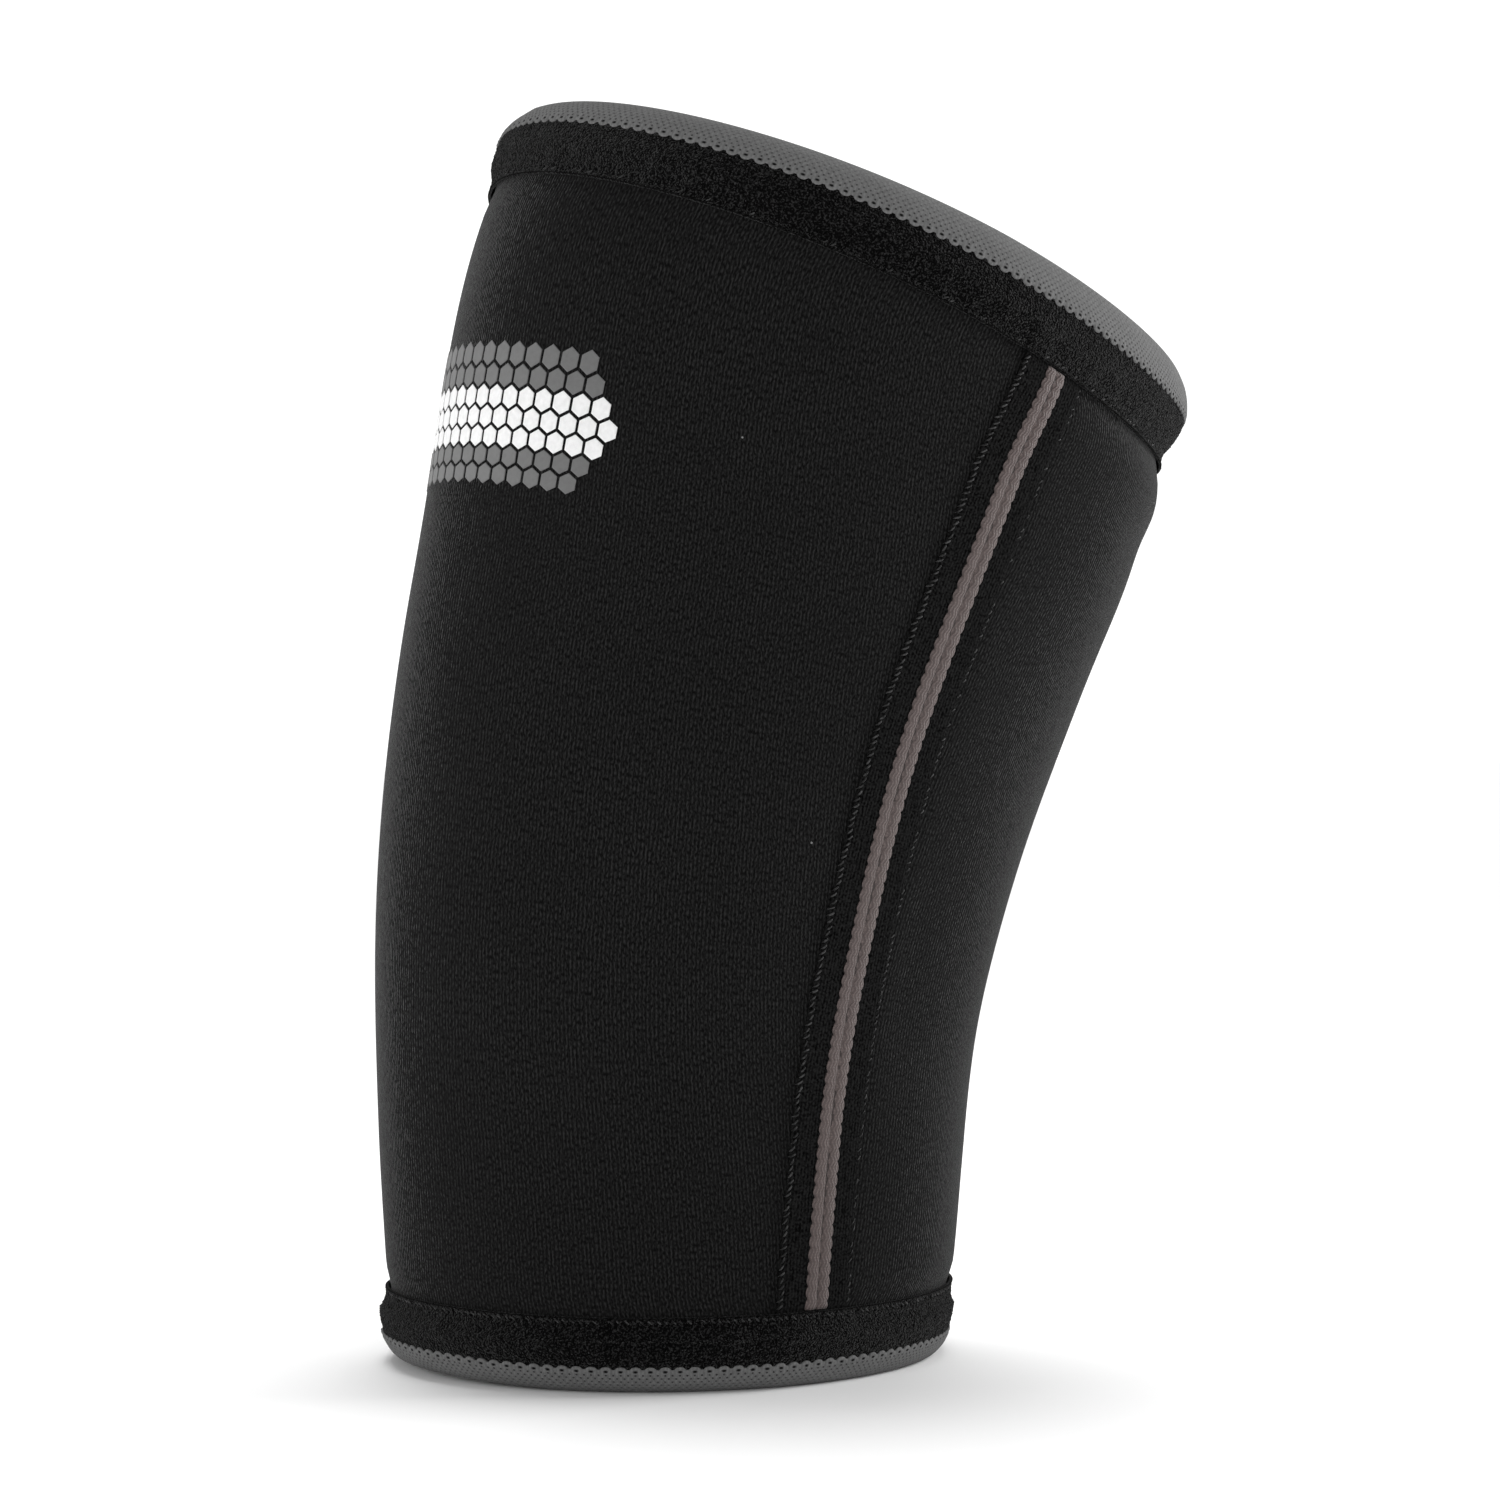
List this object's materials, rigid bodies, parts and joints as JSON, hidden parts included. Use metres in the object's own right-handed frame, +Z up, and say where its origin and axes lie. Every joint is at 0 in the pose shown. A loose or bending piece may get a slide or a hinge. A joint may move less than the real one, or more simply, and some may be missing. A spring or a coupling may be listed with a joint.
{
  "type": "knee sleeve",
  "caption": "Thick neoprene knee sleeve with a bend for the knee, taped side seams with a braided stripe, and a bound rim at each end.",
  "frame": {"origin": "middle of the sleeve's box, on the surface that its lower rim stands on", "axes": "+Z up along the leg, -Y towards the kneecap side, +Y towards the back of the knee, +X and -X towards the side seams"},
  "size_m": [0.1528, 0.1988, 0.2862],
  "materials": {
    "neoprene": "fine black knitted face on neoprene, matte with a soft sheen",
    "seam_tape": "black knitted elastic tape, matte",
    "stripe": "taupe braid of shiny thread, satin",
    "band": "black plush with a short looped pile, matte",
    "trim": "grey knitted elastic with small eyelets, matte"
  },
  "bodies": {
    "root": {"front_panel": "neoprene", "back_panel": "neoprene", "seam_tape_right": "seam_tape", "seam_tape_left": "seam_tape", "seam_stripe_right": "stripe", "seam_stripe_left": "stripe", "top_band": "band", "bottom_band": "band", "top_trim": "trim", "bottom_trim": "trim"}
  },
  "joints": []
}
